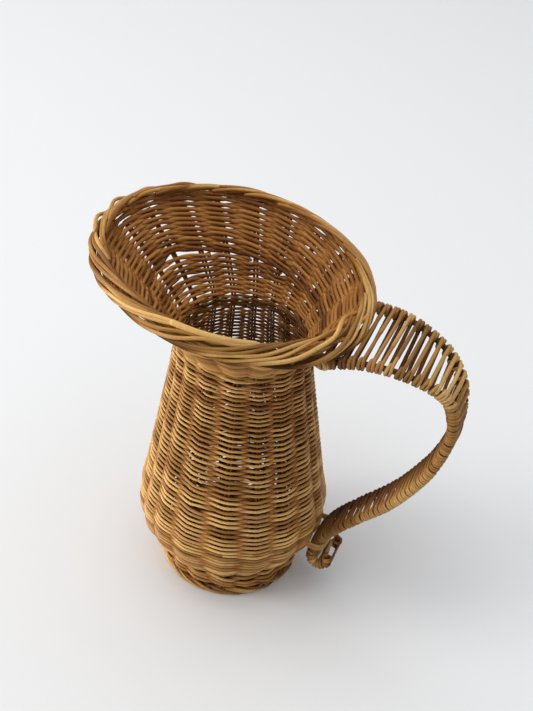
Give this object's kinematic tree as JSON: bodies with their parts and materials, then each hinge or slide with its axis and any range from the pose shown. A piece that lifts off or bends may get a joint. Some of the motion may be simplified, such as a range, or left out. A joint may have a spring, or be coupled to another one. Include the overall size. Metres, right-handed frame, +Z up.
{
  "type": "wicker pitcher",
  "caption": "Woven willow pitcher with a waisted neck, a wide tilted mouth with a rolled border, a woven foot and a laced two-rail loop handle that ends in a scroll.",
  "frame": {"origin": "on the table, under the middle of the pitcher's overall length and width", "axes": "+Z up, handle towards +X, spout towards -X, Y across"},
  "size_m": [0.3436, 0.2427, 0.3797],
  "materials": {
    "willow_weave": "satin",
    "willow_border": "satin",
    "willow_stake": "satin",
    "willow_lacing": "satin"
  },
  "bodies": {
    "root": {"foot_border": "willow_border", "foot_weave": "willow_weave", "base_weave": "willow_weave", "base_sticks": "willow_stake", "body_weave_lower": "willow_weave", "body_weave_belly": "willow_weave", "body_weave_upper": "willow_weave", "neck_wale": "willow_border", "flare_lower_weave": "willow_weave", "flare_upper_weave": "willow_border", "rim_core": "willow_stake", "rim_rod_1": "willow_border", "rim_rod_2": "willow_border", "rim_rod_3": "willow_border", "rim_rod_4": "willow_border", "rim_rod_5": "willow_border", "rim_rod_6": "willow_border", "handle_rail_near": "willow_border", "handle_rail_far": "willow_border", "handle_lacing": "willow_lacing", "handle_binding": "willow_lacing", "upper_handle_tie_near": "willow_lacing", "upper_handle_tie_far": "willow_lacing", "lower_handle_tie": "willow_lacing", "stake_pair_01": "willow_stake", "stake_pair_02": "willow_stake", "stake_pair_03": "willow_stake", "stake_pair_04": "willow_stake", "stake_pair_05": "willow_stake", "stake_pair_06": "willow_stake", "stake_pair_07": "willow_stake", "stake_pair_08": "willow_stake", "stake_pair_09": "willow_stake", "stake_pair_10": "willow_stake", "stake_pair_11": "willow_stake", "stake_pair_12": "willow_stake", "stake_pair_13": "willow_stake", "stake_pair_14": "willow_stake", "stake_pair_15": "willow_stake", "stake_pair_16": "willow_stake", "stake_pair_17": "willow_stake", "stake_pair_18": "willow_stake", "stake_pair_19": "willow_stake", "stake_pair_20": "willow_stake"}
  },
  "joints": []
}
